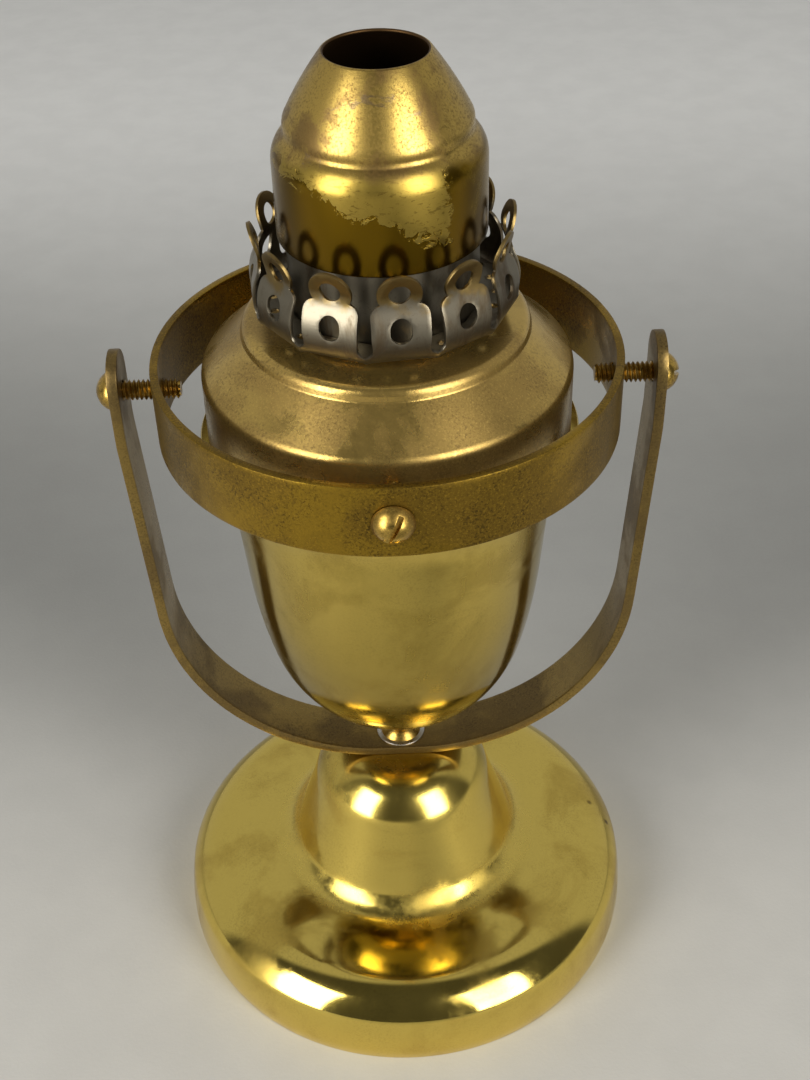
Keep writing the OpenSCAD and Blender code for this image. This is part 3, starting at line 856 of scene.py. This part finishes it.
def drum():
    """Rolled drum with one wide hole for the spindle bush."""
    r, low, high = DRUM_HIGH[0], DRUM_LOW[2], DRUM_HIGH[2]
    sector = math.radians(15)
    half = r * sector / 2
    bush = BUSH_MIDDLE
    outline = line((half, low), (half, high), 1.35) + line((half, high), (-half, high), 1.35)
    outline += line((-half, high), (-half, low), 1.35) + line((-half, low), (half, low), 1.35)
    plain = triangulate(outline, [], 1.35)
    wide = [(u * 1.15, v) for u, v in circle(0, 0, 2.2, 28)]
    pierced = triangulate(outline, [[(u, v + bush[2]) for u, v in wide]], 1.35)
    patterns = []
    for k in range(24):
        def bend(p, middle=math.atan2(bush[1], bush[0]) + k * sector):
            a = middle + p[0] / r
            out, up = np.array([math.cos(a), math.sin(a), 0.0]), np.array([0.0, 0.0, p[1]])
            return out * r + up, out * (r - DRUM_T) + up
        patterns.append((*(plain if k else pierced), bend))
    place(bent_sheet("drum", patterns, 0.12), "burner", "nickel", DRUM_NICKEL, "burner_drum")


def cap():
    track = walk((CAP_HIGH[0], CAP_LOW[2]), 0, [("line", 16.5), (6.8, 50), (-1.5, -12), (3.8, 27),
        (82, 37.4), (0.8, 75)])
    place(lathe("lamp_cap", shell_outline(track, SHEET), steps=256), "cap", "aged_brass", CAP_BRASS, "cap")


def knob():
    """Wick knob with a knurled rim, on the line of the CAD spindle."""
    joint = [j for j in frame["joints"] if j["name"] == "wick_turn"][0]
    axis, on_line = Vector(joint["axis"]), Vector(joint["pos_m"])
    teeth = 48

    def radius_at(r, z, a):
        return r - 0.28 * (0.5 + 0.5 * math.cos(a * teeth)) if r > 6.3 else r

    outline = [(0.0, 0.0), (2.4, 0.0), (2.6, 0.2), (2.6, 1.0), (6.3, 1.0), (6.7, 1.1), (7.0, 1.5),
        (7.0, 3.5), (6.7, 3.9), (6.3, 4.0), (5.4, 4.0), (5.1, 3.7), (2.2, 3.7), (1.9, 4.0), (0.0, 4.0)]
    obj = lathe("wick_knob_rim", outline, closed=False, steps=teeth * 6, radius_at=radius_at, sharp=30.0)
    start = on_line + axis * 36.0 * MM
    matrix = Matrix.Translation(start) @ axis.to_track_quat("Z", "Y").to_matrix().to_4x4()
    place(turned(obj, matrix), "raiser", "burner_brass", INNER_BRASS, "wick_knob")


def carried_over():
    """Materials of the CAD nodes that stay as they are."""
    finish = {
        "foot_ballast": IRON, "foot_felt": FELT, "yoke_lock_washer": STEEL, "urn_weight": IRON,
        "front_bush": SCREW_BRASS, "back_bush": SCREW_BRASS,
        "wick_tube": INNER_BRASS, "air_tube": INNER_BRASS,
        "spindle_bush": INNER_BRASS, "wick_spindle": INNER_BRASS, "wick_wheel": INNER_BRASS, "wick": WICK,
    }
    for node, material in finish.items():
        mesh = frame["nodes"][node].data
        mesh.materials.clear()
        mesh.materials.append(material)


foot()
strap()
ring()
screws()
washer("seat_washer", "yoke_washer", "steel", STEEL)
nut()
urn()
dome()
collar()
crown()
drum()
cap()
knob()
carried_over()


# ---------------------------------------------------------------- stage, light and camera
def floor():
    size = 2.5
    obj = new_object("floor", [(-size, -size, 0), (size, -size, 0), (size, size, 0), (-size, size, 0)],
        [(0, 1, 2, 3)])
    t = Tree("floor_paper")
    y = t.axis("Y")
    # Painted light and shade on the paper: from just behind the lamp the paper is painted darker as shade,
    # and far behind it is painted lighter as if more lit.
    colour = t.mix(t.ramp(y, -0.05, 0.17), (0.50, 0.49, 0.46), (0.31, 0.31, 0.295))
    colour = t.mix(t.ramp(y, 0.2, 0.62), colour, (0.80, 0.80, 0.78))
    # Painted shadow: the paper in front of the lamp is painted darker.
    colour = t.mix(t.ramp(y, -0.08, -0.18), colour, (0.36, 0.355, 0.335))
    # Painted shadow: the paper to the front right is painted darker still.
    painted_shadow_front_right = t.math("MULTIPLY", t.ramp(y, -0.09, -0.16), t.ramp(t.axis("X"), -0.02, 0.12))
    colour = t.mix(painted_shadow_front_right, colour, (0.16, 0.16, 0.15))
    grain = t.noise(900.0, 4.0)
    mottle = t.ramp(t.noise(45.0, 5.0, 0.6), 0.3, 0.7, 0.0, 0.06)
    colour = t.mix(mottle, colour, (0.12, 0.12, 0.12))
    obj.data.materials.append(t.set(Base_Color=colour, Roughness=t.ramp(grain, 0.3, 0.7, 0.7, 0.85),
        Normal=t.bump(grain, 0.00005)))


def sky():
    """Dark room in front and overhead, with a pale wall behind the lamp that ends just past the zenith."""
    world = bpy.data.worlds.new("room")
    bpy.context.scene.world = world
    world.use_nodes = True
    tree = world.node_tree
    back = tree.nodes["Background"]
    coords = tree.nodes.new("ShaderNodeTexCoord")
    dot = tree.nodes.new("ShaderNodeVectorMath")
    dot.operation = "DOT_PRODUCT"
    dot.inputs[1].default_value = Vector((0.0, 0.996, 0.087))
    spread = tree.nodes.new("ShaderNodeMapRange")
    spread.interpolation_type = "SMOOTHSTEP"
    for key, value in {"From Min": -0.06, "From Max": 0.10, "To Min": 0.07, "To Max": 0.45}.items():
        spread.inputs[key].default_value = value
    tree.links.new(coords.outputs["Generated"], dot.inputs[0])
    tree.links.new(dot.outputs["Value"], spread.inputs["Value"])
    tree.links.new(spread.outputs["Result"], back.inputs["Strength"])
    back.inputs["Color"].default_value = (1.0, 0.995, 0.97, 1.0)


def soft_light(name, azimuth, elevation, distance, width, height, power):
    """Square soft light aimed at the lamp. Azimuth 0 is in front of it, positive to the right."""
    light = bpy.data.lights.new(name, "AREA")
    light.shape = "RECTANGLE"
    light.size, light.size_y, light.energy = width, height, power
    light.color = (1.0, 0.985, 0.95)
    obj = bpy.data.objects.new(name, light)
    a, e = math.radians(azimuth), math.radians(elevation)
    target = Vector((0, 0, 0.13))
    out = Vector((math.sin(a) * math.cos(e), -math.cos(a) * math.cos(e), math.sin(e)))
    obj.location = target + out * distance
    obj.rotation_euler = out.to_track_quat("Z", "Y").to_euler()
    bpy.context.scene.collection.objects.link(obj)


def camera():
    yaw, pitch, roll = (math.radians(a) for a in (0.531, 38.491, -1.781))
    ahead = Vector((math.sin(yaw) * math.cos(pitch), math.cos(yaw) * math.cos(pitch), -math.sin(pitch)))
    level = Vector((math.cos(yaw), -math.sin(yaw), 0))
    upward = level.cross(ahead)
    right = level * math.cos(roll) + upward * math.sin(roll)
    top = upward * math.cos(roll) - level * math.sin(roll)
    data = bpy.data.cameras.new("camera")
    data.sensor_width, data.lens = 36.0, 51.0
    data.clip_start, data.clip_end = 0.02, 20
    obj = bpy.data.objects.new("camera", data)
    turn = Matrix((right, top, -ahead)).transposed().to_4x4()
    obj.matrix_world = Matrix.Translation((0, -0.29845, 0.36632)) @ turn
    bpy.context.scene.collection.objects.link(obj)
    bpy.context.scene.camera = obj


floor()
sky()
for name, azimuth in (("soft_left", -50), ("soft_right", 40)):
    soft_light(name, azimuth, elevation=19, distance=1.4, width=0.62, height=1.25, power=22)
camera()
bpy.context.scene.view_settings.view_transform = "Standard"
